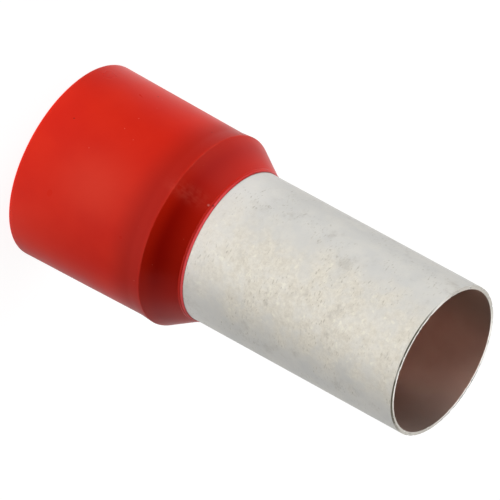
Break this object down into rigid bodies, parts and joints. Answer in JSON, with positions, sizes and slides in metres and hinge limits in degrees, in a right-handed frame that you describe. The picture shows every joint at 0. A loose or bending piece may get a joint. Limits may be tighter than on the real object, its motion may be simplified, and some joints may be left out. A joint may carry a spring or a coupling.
{
  "type": "insulated wire ferrule",
  "caption": "Insulated wire ferrule: a tinned copper crimp tube with a flared inner end, held in a red moulded collar that takes the end of a stranded cable and its insulation.",
  "frame": {"origin": "middle of the open mouth of the collar, on the face that the ferrule stands on", "axes": "+Z along the axis from the collar's mouth to the tip of the tube; X and Y are equal, because the part is round"},
  "size_m": [0.02, 0.02, 0.044],
  "materials": {
    "red_plastic": "smooth moulded polypropylene, satin gloss, faintly translucent",
    "tinned_copper": "matte tin plating outside, bare darkened copper inside"
  },
  "bodies": {
    "root": {"insulating_collar": "red_plastic", "crimp_tube": "tinned_copper"}
  },
  "joints": []
}
